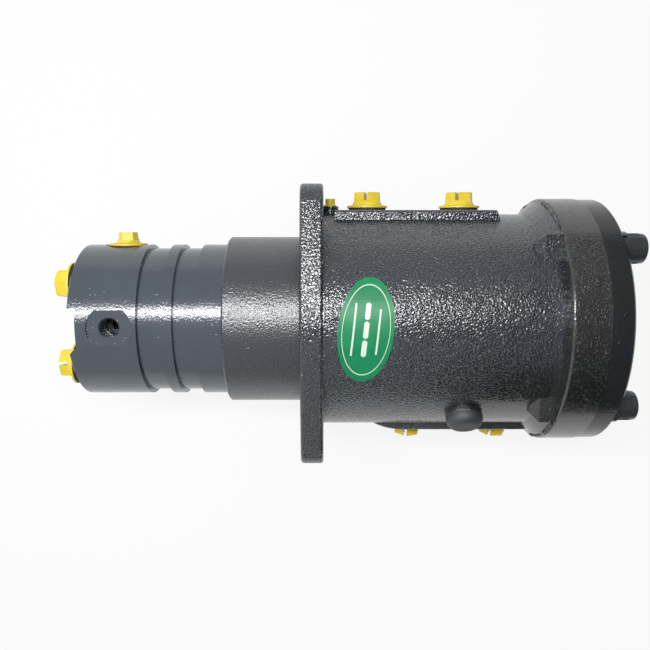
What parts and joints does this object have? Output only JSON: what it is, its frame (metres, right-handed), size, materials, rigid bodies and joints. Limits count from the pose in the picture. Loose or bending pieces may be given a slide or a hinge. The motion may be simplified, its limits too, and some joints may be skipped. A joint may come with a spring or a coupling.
{
  "type": "hydraulic rotary union",
  "caption": "Hydraulic rotary union: a ported stem turns in a cast housing with a four-eared mounting flange, port pads and a bolted end cover.",
  "frame": {"origin": "on the turning axis, in the mounting face of the four-eared flange", "axes": "+X along the turning axis from the stem's head to the end cover; +Y towards the port pad with the drain port on its side; +Z towards the side with the open pilot port"},
  "size_m": [0.3595, 0.174, 0.16],
  "materials": {
    "cast_paint": "coarse gloss paint over rough casting",
    "machined_paint": "satin paint on turned steel",
    "cover_paint": "satin paint on a turned plate",
    "screw_paint": "satin paint over black screws",
    "yellow_plastic": "moulded polyethylene",
    "rubber": "matte nitrile rubber",
    "ptfe": "bronze-filled slipper compound",
    "bronze": "turned bronze",
    "plain_steel": "turned, oiled"
  },
  "bodies": {
    "housing": {"housing": "cast_paint", "bearing_bush": "bronze", "dust_seal": "rubber", "slipper_seals": "ptfe", "seal_energisers": "rubber", "thrust_washer": "bronze", "cover_seal": "rubber", "end_cover": "cover_paint", "cover_screws": "screw_paint", "cover_spring_washers": "screw_paint", "bleed_cap": "yellow_plastic", "top_port_plugs": "yellow_plastic", "top_port_seals": "rubber", "bottom_port_plugs": "yellow_plastic", "bottom_port_seals": "rubber"},
    "stem": {"stem": "machined_paint", "thrust_plate": "plain_steel", "thrust_plate_screws": "plain_steel", "gallery_plugs": "plain_steel", "face_port_plugs": "yellow_plastic", "face_port_seals": "rubber", "drain_port_plug": "yellow_plastic", "drain_port_seal": "rubber"}
  },
  "joints": [
    {"name": "swivel", "type": "hinge", "parent": "housing", "child": "stem", "pos_m": [0, 0, 0], "axis": [1, 0, 0], "continuous": true}
  ]
}
